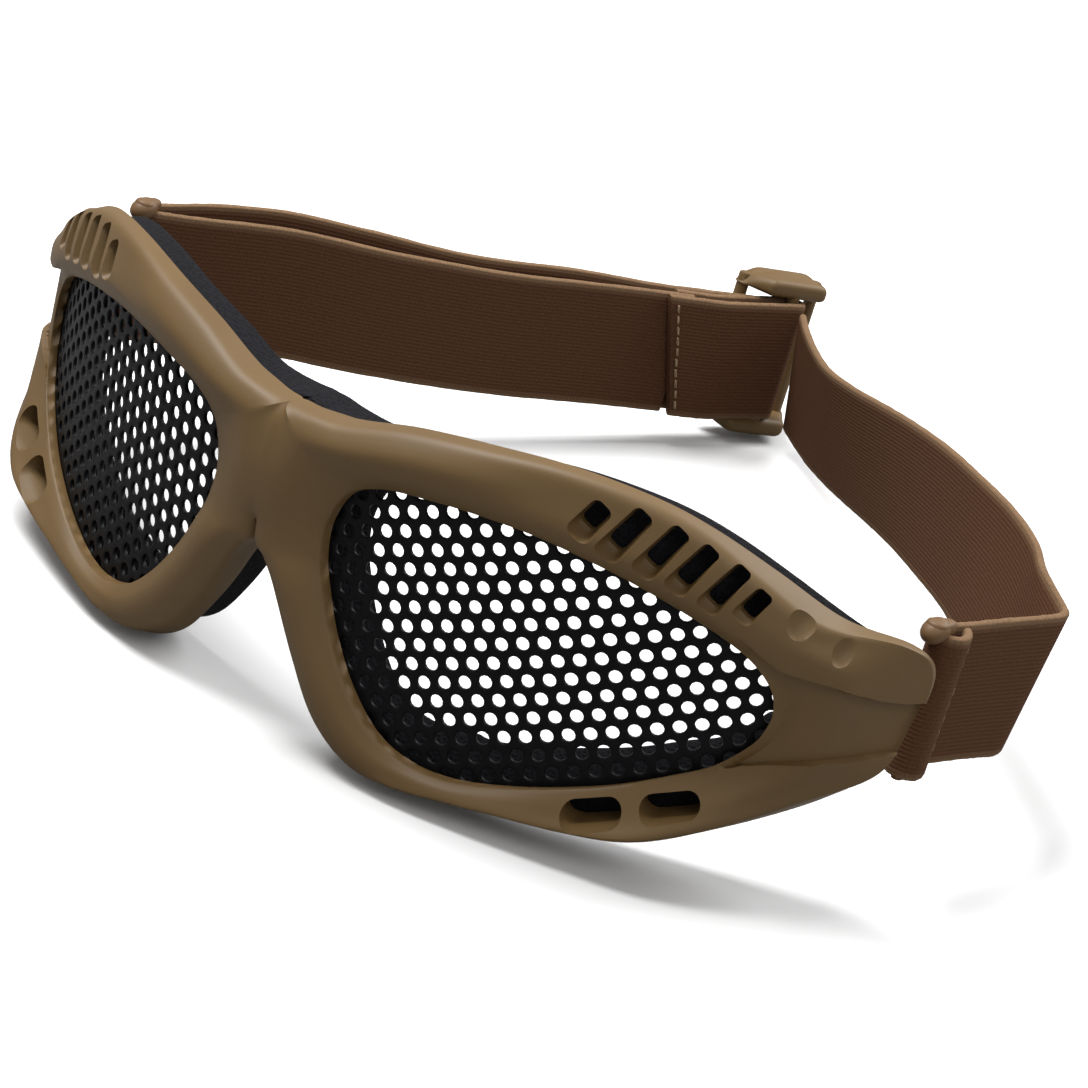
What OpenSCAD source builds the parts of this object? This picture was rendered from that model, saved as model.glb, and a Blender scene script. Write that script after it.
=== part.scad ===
// Tactical mesh goggles: a moulded wrap-round front frame, two perforated steel
// lenses, a foam face gasket and an elastic head strap with a sliding buckle.
// Millimetres. +X is the wearer's left, +Y points back to the head, +Z is up.
// The goggles stand on the lower rim of the frame and on the buckle at the rear.

/* [Wrap] */
// Radius of the upright cylinder that the lenses and the frame follow
wrap_r = 124; // [110:1:150]

/* [Frame] */
// How far the front of the rim stands proud of its drawn shape
rim_lift = 0; // [0:0.5:2]
// Width of the lip that covers the edge of the lens, all round
lens_margin = 2.2; // [1.6:0.1:2.6]
// Depth of the front lip, from the wrap surface to the lens seat
lip_back = 1.2; // [0.8:0.1:1.6]

/* [Lens] */
// Thickness of the steel sheet
mesh_t = 0.8; // [0.6:0.1:1.2]
// Distance between neighbouring holes, centre to centre
mesh_pitch = 3.5; // [3:0.1:5]
// Diameter of one hole
mesh_hole_d = 2.25; // [1.6:0.05:2.5]
// Turn of the rows of holes against the horizontal
mesh_turn = 22; // [0:1:60]
// Solid border left at the edge of the sheet
mesh_border = 0.5; // [0.3:0.1:2]

/* [Vents] */
// Width of a slanted brow vent
vent_w = 3.2; // [2:0.1:3.6]
// Height of a full brow vent
vent_h = 7.4; // [5:0.1:8]
// Lean of the brow vents, outwards at the top
vent_lean = 18; // [0:1:25]
// Length of a lower slot
slot_l = 9.4; // [7:0.1:10]
// Height of a lower slot
slot_h = 4.2; // [3:0.1:4.4]

/* [Foam] */
// Depth of the foam behind the frame at its outer edge
foam_t = 8; // [5:0.5:12]

/* [Strap] */
// Width of the elastic webbing
strap_w = 25; // [20:1:26]
// Thickness of the elastic webbing
strap_t = 1.5; // [1.2:0.1:2]
// Radius of the upright bar that the webbing turns round
bar_r = 1.6; // [1.2:0.05:2]
// Distance of each bar from the middle of the goggles
bar_x = 90.5; // [89.5:0.5:91]
// Running clearance between a bar and the webbing round it
bar_play = 0.1; // [0.05:0.01:0.1]
// Length of the webbing's sewn flap at the left bar
fold_l = 5; // [4:1:12]

/* [Buckle] */
// Distance of the buckle from the right bar, along the webbing
slider_at = 142; // [120:1:144]
// Length of the buckle along the webbing
slider_l = 20; // [16:0.5:21]
// Radius of the buckle's side bars
slider_bar_r = 1.3; // [1:0.1:1.6]
// Thickness of the buckle's two end bars, beyond the webbing's edges
slider_end_t = 3.4; // [2.4:0.1:4]

/* [Hidden] */
$fn = 48;

tan_plastic = [0.47, 0.39, 0.27];
pale_plastic = [0.62, 0.53, 0.40];
mesh_black = [0.09, 0.09, 0.11];
foam_black = [0.14, 0.13, 0.15];
webbing_brown = [0.38, 0.27, 0.19];
thread_tan = [0.55, 0.42, 0.30];

// Clearance left between soft or curved faces of different pieces
gap = 0.3;
tiny = 0.01;

// The rim of one eye, drawn as stations round the lens opening, from the top of the nose arch
// over the brow, the temple and the lower rim. Each row holds: opening x and z, outer edge x
// and z, then how far back from the wrap surface these lie: the crest next to the opening,
// the middle of the rim, its front outer edge and its rear outer edge, then the flare of the
// rear edge outwards, and how far the foam stays inside that edge.
rim = [
    [12.5, 33.5,  0.0, 34.0, -2.8, -3.6, -3.4, 5.0,  0.0, 0.0],
    [12.2, 39.5,  0.0, 45.0, -3.0, -4.4, -4.4, 5.0,  0.0, 0.0],
    [14.8, 45.4,  0.0, 54.8, -3.2, -4.4, -3.4, 3.6,  0.0, 0.0],
    [20.5, 48.6, 10.0, 56.2, -3.4, -4.4, -2.6, 3.6,  0.2, 2.2],
    [28.0, 50.0, 22.0, 59.0, -3.4, -4.2, -1.8, 3.6,  0.2, 2.2],
    [36.0, 50.8, 35.0, 61.1, -3.2, -3.5, -1.5, 3.6,  0.2, 2.2],
    [45.0, 50.9, 47.0, 62.2, -3.0, -2.0, -0.8, 3.6,  0.2, 2.2],
    [54.0, 49.8, 58.5, 61.4, -3.0, -1.5, -0.4, 3.8,  0.2, 2.2],
    [62.0, 48.0, 67.0, 59.0, -3.2, -2.0, -0.8, 4.0,  0.2, 2.2],
    [70.0, 45.2, 75.5, 54.7, -3.6, -3.3, -2.2, 4.5,  0.2, 2.2],
    [76.2, 41.9, 84.0, 49.5, -4.0, -4.5, -2.2, 5.5,  0.0, 2.4],
    [80.0, 37.8, 92.2, 47.2, -4.0, -4.6,  2.4, 10.2, -2.2, 5.4],
    [81.2, 34.0, 94.8, 43.0, -4.0, -4.2,  5.4, 11.0, -2.4, 8.0],
    [81.0, 31.0, 94.8, 33.5, -4.0, -4.2,  5.0, 9.2, -2.4, 8.0],
    [79.8, 27.6, 93.6, 24.6, -3.6, -4.4,  2.4, 7.4, -2.2, 7.0],
    [76.0, 22.7, 87.4, 19.2, -3.2, -5.2, -3.0, 6.0,  0.0, 2.4],
    [70.8, 19.0, 79.0, 13.2, -3.0, -5.4, -7.0, 5.0,  0.8, 0.8],
    [64.5, 15.2, 71.0,  8.8, -2.8, -4.6, -7.4, 5.0,  1.2, 0.4],
    [57.5, 12.0, 61.5,  6.6, -2.6, -3.8, -5.5, 5.0,  1.5, 0.4],
    [50.0,  9.2, 52.0,  5.4, -2.5, -3.5, -4.2, 5.0,  1.8, 0.4],
    [42.0,  7.1, 43.5,  4.2, -2.5, -3.2, -3.5, 5.0,  2.0, 0.4],
    [35.0,  7.0, 33.5,  2.8, -2.5, -2.8, -3.0, 5.0,  2.0, 0.4],
    [28.5,  9.2, 25.0,  2.8, -2.5, -2.6, -1.6, 5.0,  1.6, 0.4],
    [22.5, 14.6, 17.0,  7.0, -2.6, -2.4, -0.8, 5.0,  1.2, 0.4],
    [17.5, 21.8, 10.8, 15.0, -2.8, -2.8, -0.8, 5.0,  0.8, 0.4],
    [14.3, 28.5,  5.0, 25.5, -3.2, -3.6, -2.0, 5.0,  0.6, 0.4]
];
rim_steps = 64;

// Brow vents as rows of: x, z, distance behind the wrap surface, share of the full height
vents = [
    [52.4, 57.0, 0.5, 0.55],
    [57.4, 56.4, 0.5, 1],
    [62.9, 55.5, 0, 1],
    [67.7, 54.2, -1, 1],
    [72.5, 52.6, -2, 1],
    [76.7, 51.1, -3, 0.6]
];
vent_yaw = 25;
cut_l = 22;
// Lower slots as rows of: x, z and distance behind the wrap surface
slots = [[64.1, 10.9, -3.6], [74.3, 15.4, -5.7]];
slot_rise = 22;
slot_yaw = 24;
// Blind dimples on the brow band's outer end: x, z and distance behind the wrap surface
dimples = [[82.5, 48.4, -2.9], [87.3, 44.6, -2.6]];
dimple_w = 3.4;
dimple_h = 5.4;
dimple_lean = 30;
dimple_yaw = 53;
dimple_deep = 0.9;

// Strap: seen along the bars, with the origin midway between them
bar_y = 58;
bar_z = 34;
strap_rake = 5;
crease = [91.5, 32];
corner = [-35.5, 135.5];
// Rise towards the corner: of the line that the back course is drawn from, and of the right run
corner_rise = 3;
run_corner_rise = 0.6;
// Course of the strap's back part as rows of: share of the way, rise and lean
back_course = [
    [0, 0.6, 0],
    [0.06, 3, -3],
    [0.12, 4.8, -5],
    [0.2, 5.6, -3],
    [0.3, 5.2, 2.5],
    [0.4, 4.1, 5.5],
    [0.5, 2.4, 10],
    [0.6, 0.1, 14.5],
    [0.7, -2.4, 18],
    [0.8, -4.4, 19],
    [0.88, -4.8, 16],
    [0.94, -4.2, 14],
    [1, -3.4, 13]
];
ring_in = bar_r + bar_play;
ring_out = ring_in + strap_t;
ply_off = (ring_in + ring_out) / 2;
bar_l = strap_w + 0.8;
arm_t = 1.4;
end_gap = 0.35;
stitch_r = 0.25;
corner_gap = 6.5;
run_len = norm(corner + [bar_x, 0]);
run_turn = atan2(corner[1], corner[0] + bar_x) - 90;
run_rise = atan2(run_corner_rise, run_len);

// Buckle: places across the webbing, measured outwards from the run's middle
centre_bar_r = 1.2;
fold_in = centre_bar_r + 0.1;
fold_out = fold_in + strap_t;
centre_bar_n = ply_off - strap_t / 2 - gap - 0.05 - fold_out;
side_bar_n = ply_off + strap_t / 2 + gap + 0.05 + slider_bar_r;
slider_h = strap_w + 2 * 0.6 + 2 * slider_end_t;
// How far the end bars' rounded profile stands out past the bars in it
end_r_extra = 0.3;
fold_end_l = 30;
// Length of the inner ply that is inside the fold at rest
fold_overlap = 2;

// Wrap surface: distance behind the middle of the nose at a distance x from the middle
function wrap_y(x) = wrap_r - sqrt(wrap_r * wrap_r - x * x);

// Smooth closed curve through rows of values: t runs from 0 to the number of rows
function smooth(rows, t) =
    let (n = len(rows), i = floor(t), u = t - i,
        a = rows[(i + n - 1) % n], b = rows[i % n], c = rows[(i + 1) % n], d = rows[(i + 2) % n])
    0.5 * (2 * b + (c - a) * u + (2 * a - 5 * b + 4 * c - d) * u * u + (3 * b - a - 3 * c + d) * u * u * u);

stations = [for (i = [0 : rim_steps - 1]) smooth(rim, i * len(rim) / rim_steps)];

// A point of the rim at distance r outwards from the opening; points on the middle plane are at 0
function rim_flat(s, r) =
    let (in_pt = [s[0], s[1]], out_pt = [max(s[2], 0), s[3]],
        p = in_pt + (out_pt - in_pt) * r / norm(out_pt - in_pt))
    [p[0] < tiny ? 0 : p[0], p[1]];
function rim_at(s, r, depth) =
    let (p = rim_flat(s, r)) [p[0], wrap_y(p[0]) + depth, p[1]];
function rim_w(s) = norm([max(s[2], 0), s[3]] - [s[0], s[1]]);
// Share of the edge rounding and flare that is left near the middle plane
function edge_share(s) = min(1, max(s[2], 0) / 8);

// Place of the lens: its front and its rear face behind the middle of the nose
lens_y = lip_back + 0.05;
seat_r = lens_margin + 0.4;
function lens_back_y(x) = lens_y + wrap_r - sqrt(pow(wrap_r - mesh_t, 2) - x * x);
function behind_lens(s, r, depth) =
    let (p = rim_flat(s, r)) [p[0], lens_back_y(p[0]) + depth, p[1]];

// Cross-section of the rim at one station, as a closed loop
function rim_loop(s) =
    let (w = rim_w(s))
    [rim_at(s, 0, -0.9),
     rim_at(s, 0.1 * w, 0.6 * s[4] - rim_lift),
     rim_at(s, 0.3 * w, s[4] - rim_lift),
     rim_at(s, 0.62 * w, s[5] - rim_lift),
     rim_at(s, 0.93 * w, s[6] - rim_lift),
     rim_at(s, w, s[6] + 1.2 * edge_share(s)),
     rim_at(s, w + s[8] * edge_share(s), s[7]),
     behind_lens(s, seat_r, 0.1),
     rim_at(s, seat_r, lip_back),
     rim_at(s, 0, lip_back)];

// Cross-section of the foam at one station, as a closed loop
function foam_loop(s) =
    let (w = rim_w(s) + s[8] * edge_share(s), out_r = w - s[9] * edge_share(s),
        seat = behind_lens(s, seat_r, gap + 0.1), back = rim_at(s, w, s[7] + gap),
        edge = seat + (back - seat) * (out_r - seat_r) / (w - seat_r))
    [behind_lens(s, 1, gap),
     seat,
     edge,
     edge + [0, foam_t - edge_share(s), 0],
     rim_at(s, out_r - 1, edge[1] - wrap_y(edge[0]) + foam_t),
     behind_lens(s, 2.6, foam_t + 1.6),
     behind_lens(s, 1, foam_t + 0.6)];

// Two mirrored rings of triangles, one round each eye, joined where they meet on the middle plane
module eye_rings(loops) {
    n = len(loops);
    m = len(loops[0]);
    function on_mid(i, j) = abs(loops[i][j][0]) < tiny;
    function at(side, i, j) = i * m + j + (on_mid(i, j) ? 0 : side * n * m);
    polyhedron(
        points = concat([for (l = loops) for (p = l) p],
            [for (l = loops) for (p = l) [-p[0], p[1], p[2]]]),
        faces = [for (side = [0, 1]) for (i = [0 : n - 1]) for (j = [0 : m - 1]) for (k = [0, 1])
            let (i2 = (i + 1) % n, j2 = (j + 1) % m, a = at(side, i, j), b = at(side, i, j2),
                c = at(side, i2, j2), d = at(side, i2, j), tri = k == 0 ? [a, c, b] : [a, d, c])
            if (!(on_mid(i, j) && on_mid(i, j2) && on_mid(i2, j) && on_mid(i2, j2)))
                side == 0 ? tri : [tri[0], tri[2], tri[1]]],
        convexity = 10);
}

// A flat band swept along a line of frames, each: place, direction across, direction of thickness
module band(frames, w, t) {
    n = len(frames);
    polyhedron(
        points = [for (f = frames) for (c = [[-1, -1], [1, -1], [1, 1], [-1, 1]])
            f[0] + f[1] * c[0] * w / 2 + f[2] * c[1] * t / 2],
        faces = concat(
            [[0, 1, 2], [0, 2, 3]],
            [for (i = [0 : n - 2]) for (j = [0 : 3]) for (k = [0, 1])
                let (a = i * 4 + j, b = i * 4 + (j + 1) % 4, c = b + 4, d = a + 4)
                k == 0 ? [a, c, b] : [a, d, c]],
            [[4 * n - 4, 4 * n - 2, 4 * n - 3], [4 * n - 4, 4 * n - 1, 4 * n - 2]]),
        convexity = 4);
}

// The standing pose: the whole model leans back until the buckle rests on the ground
frame_pts = [for (s = stations) each rim_loop(s)];
// Height and depth of a place on the right run, before the model leans
function run_spot(n, y, z) =
    let (up = y * sin(run_rise) + z * cos(run_rise),
        back = n * sin(run_turn) + (y * cos(run_rise) - z * sin(run_rise)) * cos(run_turn))
    [bar_y + back * cos(strap_rake) + up * sin(strap_rake),
        bar_z - back * sin(strap_rake) + up * cos(strap_rake)];
slider_edge_r = slider_bar_r + end_r_extra;
function slider_spots(extra) = [for (s = [-1, 1]) for (v = [-1, 1]) for (n = [-side_bar_n, -centre_bar_n])
    run_spot(n, slider_at + s * (slider_l / 2 - slider_bar_r + extra), v * slider_h / 2)];
rest_lean = min([for (p = slider_spots(slider_edge_r))
    max([for (q = frame_pts) atan2(p[1] - q[2], p[0] - q[1])])]);
function lean_z(p) = p[1] * cos(rest_lean) - p[0] * sin(rest_lean);
function lean_y(p) = p[0] * cos(rest_lean) + p[1] * sin(rest_lean);
rest_lift = -min([for (p = frame_pts) lean_z([p[1], p[2]])]);
front_y = min([for (p = frame_pts) lean_y([p[1], p[2]])]);
rear_y = max([for (p = slider_spots(0)) lean_y(p)]) + slider_edge_r;
mid_y = (front_y + rear_y) / 2;

module standing() {
    translate([0, -mid_y, rest_lift])
        rotate([-rest_lean, 0, 0])
            children();
}

// The strap's own directions: Z along the bars, Y straight back
module strap_place() {
    standing()
        translate([0, bar_y, bar_z])
            rotate([-strap_rake, 0, 0])
                children();
}

// At the right bar, turned along the doubled right run: Y towards the corner, -X outwards
module bar_place() {
    strap_place()
        translate([-bar_x, 0, 0])
            rotate([0, 0, run_turn])
                children();
}
module run_place() {
    bar_place()
        rotate([run_rise, 0, 0])
            children();
}

module both_sides() {
    children();
    mirror([1, 0, 0])
        children();
}

// Upright slot with round ends
module slot_shape(w, h) {
    for (s = [-1, 1])
        translate([0, s * (h - w) / 2])
            circle(d = w);
    square([w, h - w], center = true);
}

// Puts a flat shape on the wrap surface and cuts with it along the frame's local normal
module cut_at(x, z, depth, yaw, lean, deep) {
    translate([x, wrap_y(x) + depth, z])
        rotate([0, 0, yaw])
            rotate([90, 0, 0])
                rotate([0, 0, -lean])
                    linear_extrude(height = deep, center = true)
                        children();
}

module frame_cuts() {
    for (v = vents)
        cut_at(v[0], v[1], v[2], vent_yaw, vent_lean, cut_l)
            slot_shape(vent_w, vent_h * v[3]);
    for (s = slots)
        cut_at(s[0], s[1], s[2], slot_yaw, 90 - slot_rise, cut_l)
            slot_shape(slot_h, slot_l);
    for (d = dimples)
        cut_at(d[0], d[1], d[2], dimple_yaw, dimple_lean, 2 * dimple_deep)
            slot_shape(dimple_w, dimple_h);
}

// The strap loop's upright spine, just in front of the webbing, and its tongue in the temple
spine_t = 1.6;
spine_w = 3.6;
spine_y = -(ring_out + 0.4 + spine_t / 2);
spine_x = bar_x + 1.2;
tongue_l = 3.4;
tongue_t = 1.6;
tongue_h = 13;
module tongue(extra) {
    translate([spine_x, spine_y - tongue_l / 2, -1])
        cube([tongue_t + 2 * extra, tongue_l + 2 * extra, tongue_h + 2 * extra], center = true);
}
module spine(extra) {
    translate([spine_x, spine_y, 0])
        cube([spine_w + 2 * extra, spine_t + 2 * extra, bar_l + 2 * arm_t - 0.4], center = true);
}

module frame() {
    color(tan_plastic)
        difference() {
            standing()
                difference() {
                    eye_rings([for (s = stations) rim_loop(s)]);
                    both_sides()
                        frame_cuts();
                }
            strap_place()
                both_sides() {
                    tongue(0.1);
                    spine(0.1);
                }
        }
}

// Outline of the lens sheet: the opening, grown by the margin
lens_outline = [for (s = stations) let (p = rim_at(s, lens_margin, 0)) [p[0], p[2]]];
lens_mid = [46, 29];

// Places of the holes on the unrolled sheet, as arc length round the wrap and height
row_h = mesh_pitch * sqrt(3) / 2;
hole_places = [for (j = [-12 : 12]) for (i = [-16 : 16])
    let (u = (i + (j % 2 == 0 ? 0 : 0.5)) * mesh_pitch, v = j * row_h,
        a = u * cos(mesh_turn) - v * sin(mesh_turn), b = u * sin(mesh_turn) + v * cos(mesh_turn))
    [a + wrap_r * asin(lens_mid[0] / wrap_r) * PI / 180, b + lens_mid[1]]];
function hole_turn(p) = p[0] / wrap_r * 180 / PI;
function hole_x(p) = wrap_r * sin(hole_turn(p));

// Distance of a point inside the outline, negative outside of it
function seg_d(p, a, b) =
    let (u = max(0, min(1, (p - a) * (b - a) / ((b - a) * (b - a))))) norm(p - a - (b - a) * u);
function crossings(p, o) =
    len([for (i = [0 : len(o) - 1])
        let (a = o[i], b = o[(i + 1) % len(o)])
        if ((a[1] > p[1]) != (b[1] > p[1])
            && p[0] < (b[0] - a[0]) * (p[1] - a[1]) / (b[1] - a[1]) + a[0]) 1]);
function inside_d(p, o) =
    (crossings(p, o) % 2 == 1 ? 1 : -1)
        * min([for (i = [0 : len(o) - 1]) seg_d(p, o[i], o[(i + 1) % len(o)])]);

open_holes = [for (p = hole_places)
    if (inside_d([hole_x(p), p[1]], lens_outline) > mesh_hole_d / 2 + mesh_border) p];

module lens_sheet() {
    translate([0, lens_y, 0])
        intersection() {
            translate([0, wrap_r, 0])
                difference() {
                    cylinder(r = wrap_r, h = 70, $fn = 360);
                    translate([0, 0, -1])
                        cylinder(r = wrap_r - mesh_t, h = 72, $fn = 360);
                }
            translate([0, wrap_r / 2, 0])
                rotate([90, 0, 0])
                    linear_extrude(height = wrap_r + 2, center = true)
                        polygon(lens_outline);
        }
}

module lens() {
    difference() {
        lens_sheet();
        translate([0, lens_y + wrap_r, 0])
            for (p = open_holes)
                translate([0, 0, p[1]])
                    rotate([90, 0, hole_turn(p)])
                        translate([0, 0, wrap_r - 4])
                            cylinder(d = mesh_hole_d, h = 8, $fn = 24);
    }
}

module lens_left() {
    color(mesh_black)
        standing()
            lens();
}

module lens_right() {
    color(mesh_black)
        standing()
            mirror([1, 0, 0])
                lens();
}

module foam_gasket() {
    color(foam_black)
        standing()
            eye_rings([for (s = stations) foam_loop(s)]);
}

// Bar, two arms and the tongue that sits in the temple
module strap_loop() {
    translate([bar_x, 0, 0])
        cylinder(r = bar_r, h = bar_l + arm_t, center = true);
    for (s = [-1, 1])
        translate([0, 0, s * (bar_l / 2 + arm_t / 2)])
            hull() {
                translate([bar_x, 0, 0])
                    cylinder(r = bar_r + 0.4, h = arm_t, center = true, $fn = 32);
                translate([spine_x, spine_y, 0])
                    cylinder(r = 2, h = arm_t, center = true, $fn = 32);
            }
    spine(0);
    tongue(0);
}

module strap_loop_left() {
    color(pale_plastic)
        strap_place()
            strap_loop();
}

module strap_loop_right() {
    color(pale_plastic)
        strap_place()
            mirror([1, 0, 0])
                strap_loop();
}

// Ring of webbing round an upright bar at the origin
module ring(inner, outer, h) {
    difference() {
        cylinder(r = outer, h = h, center = true);
        cylinder(r = inner, h = h + 2, center = true);
    }
}

// Upright wall of webbing along a flat line of points
module wall(line, t, h) {
    n = len(line);
    dirs = [for (i = [0 : n - 1])
        let (d = line[min(i + 1, n - 1)] - line[max(i - 1, 0)]) [-d[1], d[0]] / norm(d)];
    linear_extrude(height = h, center = true)
        polygon(concat(
            [for (i = [0 : n - 1]) line[i] + dirs[i] * t / 2],
            [for (i = [n - 1 : -1 : 0]) line[i] - dirs[i] * t / 2]));
}

// Left side of the strap: from the crease straight to the bar's inner side, round the bar, and
// a short flap on the outer side that is sewn down
main_x = bar_x - ply_off + 0.6;
left_main = [[bar_x - ply_off, 0], [main_x, fold_l * 0.7], [main_x + 0.5, fold_l + 3],
    [(main_x + 0.5 + crease[0]) / 2, (fold_l + 3 + crease[1]) / 2], crease];
flap_x = main_x + 0.5 + strap_t + 0.1;
left_flap = [[bar_x + ply_off, 0], [bar_x + ply_off - 0.3, fold_l * 0.4], [flap_x, fold_l]];
flap_dir = (left_flap[1] - left_flap[2]) / norm(left_flap[1] - left_flap[2]);
stitch_at = left_flap[2] + flap_dir * 1.6
    + [-flap_dir[1], flap_dir[0]] * (strap_t / 2 + stitch_r + 0.05);
module strap_left_side() {
    color(webbing_brown)
        strap_place() {
            translate([bar_x, 0, 0])
                ring(ring_in, ring_out, strap_w);
            difference() {
                union() {
                    wall(left_main, strap_t, strap_w);
                    wall(left_flap, strap_t, strap_w);
                    translate([crease[0], crease[1], 0])
                        cylinder(d = strap_t, h = strap_w, center = true);
                }
                translate([bar_x, 0, 0])
                    cylinder(r = ring_in, h = strap_w + 2, center = true);
            }
        }
}

// Back of the strap: from the crease, rising and leaning forward, to the corner at the buckle
back_dir = (corner - crease) / norm(corner - crease);
back_from = crease + back_dir * (strap_t / 2 + end_gap);
back_to = corner - back_dir * corner_gap;
function back_frame(c) =
    let (flat = back_from + (back_to - back_from) * c[0], lean = c[2],
        across = [-back_dir[1], back_dir[0]])
    [[flat[0], flat[1], corner_rise * c[0] + c[1]],
     [across[0] * sin(lean), across[1] * sin(lean), cos(lean)],
     [across[0] * cos(lean), across[1] * cos(lean), -sin(lean)]];
module strap_back() {
    color(webbing_brown)
        strap_place()
            band([for (c = back_course) back_frame(c)], strap_w, strap_t);
}

// Outer ply of the right run: round the bar and straight through the buckle to the corner
module strap_right_outer() {
    color(webbing_brown)
        difference() {
            union() {
                bar_place()
                    ring(ring_in, ring_out, strap_w);
                run_place() {
                    wall([[-ply_off, 0], [-ply_off, run_len - corner_gap - 1]], strap_t, strap_w);
                    wall([[ply_off, 0], [ply_off, 3]], strap_t, strap_w);
                }
            }
            bar_place()
                cylinder(r = ring_in, h = strap_w + 4, center = true);
        }
}

// Inner ply of the right run, from beside the bar back to the folded end at the buckle
fold_ply = fold_in + strap_t / 2;
fold_from = slider_at - fold_end_l;
fold_travel = 20;
module strap_right_inner() {
    color(webbing_brown)
        run_place()
            wall([[ply_off, 3 + gap], [ply_off, 30], [-centre_bar_n, fold_from - fold_travel - 6],
                [-centre_bar_n, fold_from + fold_overlap]], strap_t, strap_w);
}

// Folded end: round the buckle's middle bar and sewn back to itself
module strap_fold_end() {
    color(webbing_brown)
        run_place()
            translate([-centre_bar_n, slider_at, 0])
                difference() {
                    union() {
                        ring(fold_in, fold_out, strap_w);
                        for (s = [-1, 1])
                            wall([[s * fold_ply, 0], [s * fold_ply, -fold_end_l]], strap_t, strap_w);
                    }
                    cylinder(r = fold_in, h = strap_w + 2, center = true);
                }
}

// Sliding buckle: a middle bar inside the webbing, two side bars outside it, and two end bars
module slider() {
    color(tan_plastic)
        run_place()
            translate([0, slider_at, 0]) {
                translate([-centre_bar_n, 0, 0])
                    cylinder(r = centre_bar_r, h = slider_h - 1, center = true);
                for (s = [-1, 1])
                    translate([-side_bar_n, s * (slider_l / 2 - slider_bar_r), 0])
                        cylinder(r = slider_bar_r, h = slider_h - 1, center = true);
                for (s = [-1, 1])
                    translate([0, 0, s * (slider_h / 2 - slider_end_t / 2)])
                        linear_extrude(height = slider_end_t, center = true)
                            slider_end();
            }
}

// Profile of an end bar, seen along the bars
module slider_end() {
    hull() {
        for (s = [-1, 1])
            translate([-side_bar_n, s * (slider_l / 2 - slider_bar_r)])
                circle(r = slider_bar_r + end_r_extra, $fn = 32);
        for (s = [-1, 1])
            translate([-centre_bar_n, s * slider_l * 0.28])
                circle(r = centre_bar_r + end_r_extra, $fn = 32);
    }
}

// A row of stitches: short bars of thread lying on the webbing
module stitch_row(n, l) {
    step = (strap_w - 3) / n;
    for (i = [0 : n - 1])
        translate([0, 0, -strap_w / 2 + 1.5 + step * (i + 0.5)])
            cylinder(r = stitch_r, h = l, center = true, $fn = 16);
}

module stitches_left() {
    color(thread_tan)
        strap_place()
            translate([stitch_at[0], stitch_at[1], 0])
                stitch_row(9, 1.7);
}

module stitches_fold() {
    color(thread_tan)
        run_place()
            translate([-centre_bar_n + fold_out + stitch_r + 0.02, fold_from + 1.5, 0])
                stitch_row(10, 1.6);
}

frame();
lens_left();
lens_right();
foam_gasket();
strap_loop_left();
strap_loop_right();
strap_left_side();
strap_back();
strap_right_outer();
strap_right_inner();
strap_fold_end();
slider();
stitches_left();
stitches_fold();
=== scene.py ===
import math

import bmesh
import bpy
import numpy as np
from mathutils import Matrix


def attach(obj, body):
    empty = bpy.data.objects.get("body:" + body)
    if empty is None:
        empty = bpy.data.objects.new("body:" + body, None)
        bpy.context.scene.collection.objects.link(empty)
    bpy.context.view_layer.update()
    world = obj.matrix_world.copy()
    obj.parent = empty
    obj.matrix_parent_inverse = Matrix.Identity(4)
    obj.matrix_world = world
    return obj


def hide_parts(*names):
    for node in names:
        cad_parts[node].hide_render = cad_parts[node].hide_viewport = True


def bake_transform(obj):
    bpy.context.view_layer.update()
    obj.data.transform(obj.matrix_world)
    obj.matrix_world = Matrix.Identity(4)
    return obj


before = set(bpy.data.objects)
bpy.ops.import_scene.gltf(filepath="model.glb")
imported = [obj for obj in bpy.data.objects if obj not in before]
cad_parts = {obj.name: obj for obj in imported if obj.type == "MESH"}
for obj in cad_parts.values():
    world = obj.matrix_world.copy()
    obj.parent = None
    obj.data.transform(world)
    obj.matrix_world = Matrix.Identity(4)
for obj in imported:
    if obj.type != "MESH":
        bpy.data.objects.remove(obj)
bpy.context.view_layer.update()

mm = 0.001
noise = np.random.default_rng(11)
print("stage: frame loaded")

# How the goggles stand, and where the strap's bars are, in millimetres and degrees
standing = {"lean": 1.47351, "middleY": 99.8191, "lift": -0.600762}
strapFrame = {"barX": 90.5, "barY": 58.0, "barZ": 34.0, "rake": 5.0}
runFrame = {"turn": -22.0924, "rise": 0.235079, "length": 146.237, "sliderAt": 142.0}
webbing = {"width": 25.0, "thickness": 1.5, "plyOffset": 2.45}


def turnX(points, degrees):
    a = math.radians(degrees)
    x, y, z = points[..., 0], points[..., 1], points[..., 2]
    return np.stack([x, y * math.cos(a) - z * math.sin(a), y * math.sin(a) + z * math.cos(a)], -1)


def turnZ(points, degrees):
    a = math.radians(degrees)
    x, y, z = points[..., 0], points[..., 1], points[..., 2]
    return np.stack([x * math.cos(a) - y * math.sin(a), x * math.sin(a) + y * math.cos(a), z], -1)


def fromMould(points):
    points = np.asarray(points, float)
    return turnX(points, -standing["lean"]) + [0, -standing["middleY"], standing["lift"]]


def fromStrap(points):
    points = turnX(np.asarray(points, float), -strapFrame["rake"])
    return fromMould(points + [0, strapFrame["barY"], strapFrame["barZ"]])


def fromRun(points):
    points = turnZ(turnX(np.asarray(points, float), runFrame["rise"]), runFrame["turn"])
    return fromStrap(points + [-strapFrame["barX"], 0, 0])


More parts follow.
